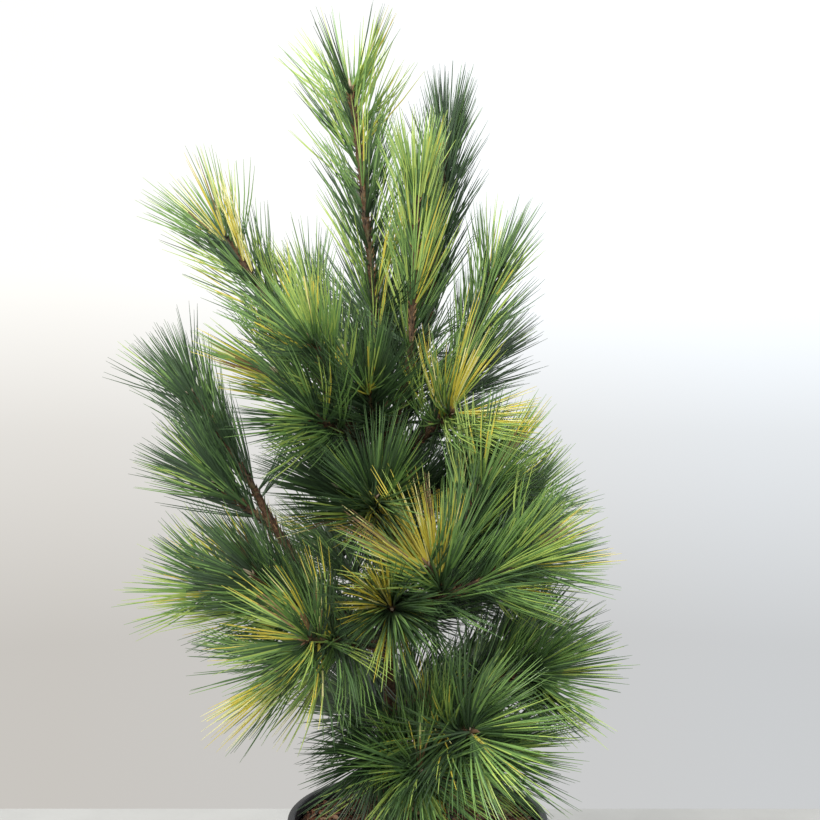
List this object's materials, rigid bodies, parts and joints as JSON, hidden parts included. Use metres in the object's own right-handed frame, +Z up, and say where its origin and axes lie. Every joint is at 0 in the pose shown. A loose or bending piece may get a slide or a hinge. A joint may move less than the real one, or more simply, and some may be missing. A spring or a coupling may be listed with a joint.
{
  "type": "potted macedonian pine",
  "caption": "Young upright conifer with long variegated needles in tufts on rising shoots, growing in a round plastic nursery pot of compost.",
  "frame": {"origin": "middle of the pot's flat underside", "axes": "+Z up along the trunk, -Y towards the plant's front"},
  "size_m": [0.4304, 0.3876, 0.877],
  "materials": {
    "pot": "satin black moulded plastic",
    "compost": "loose brown bark and peat",
    "bark": "rough brown bark with old leaf bases",
    "needles_dark": "dark blue-green needles",
    "needles_green": "green needles",
    "needles_bright": "yellow-green needles",
    "needles_gold": "golden variegated needles"
  },
  "bodies": {
    "root": {"pot": "pot", "compost": "compost", "trunk": "bark", "bough_second_leader": "bark", "bough_back_leader": "bark", "bough_right": "bark", "bough_left_front": "bark", "bough_upper_left": "bark", "bough_far_left": "bark", "bough_left_rising": "bark", "bough_left_level": "bark", "bough_left_front_low": "bark", "bough_right_front": "bark", "bough_back_left": "bark", "bough_back": "bark", "bough_right_low": "bark", "needles_leader": "needles_bright", "needles_second_leader": "needles_bright", "needles_back_leader": "needles_dark", "needles_right_gold": "needles_gold", "needles_right_upper": "needles_bright", "needles_left_front": "needles_bright", "needles_left_front_side": "needles_gold", "needles_upper_left": "needles_bright", "needles_upper_left_side": "needles_gold", "needles_back_left_upper": "needles_dark", "needles_back_upper": "needles_green", "needles_back_right_upper": "needles_dark", "needles_upper_front": "needles_dark", "needles_inner_left": "needles_dark", "needles_inner_front": "needles_dark", "needles_inner_right": "needles_dark", "needles_inner_back": "needles_green", "needles_inner_left_back": "needles_green", "needles_far_left": "needles_dark", "needles_far_left_side": "needles_dark", "needles_left_rising": "needles_green", "needles_left_level": "needles_bright", "needles_left_front_low": "needles_gold", "needles_left_under": "needles_green", "needles_centre_front": "needles_gold", "needles_gold_tuft": "needles_gold", "needles_right_rising": "needles_bright", "needles_right_front": "needles_bright", "needles_right_side": "needles_green", "needles_right_back": "needles_dark", "needles_left_back": "needles_green", "needles_back_left": "needles_green", "needles_back": "needles_bright", "needles_back_right": "needles_green", "needles_right_low": "needles_green", "needles_right_low_back": "needles_dark", "needles_front_right_low": "needles_green", "needles_front_low": "needles_green", "needles_left_low": "needles_dark", "needles_left_low_front": "needles_green", "needles_right_skirt": "needles_green", "needles_back_left_low": "needles_green", "needles_back_low": "needles_dark", "needles_back_right_low": "needles_green"}
  },
  "joints": []
}
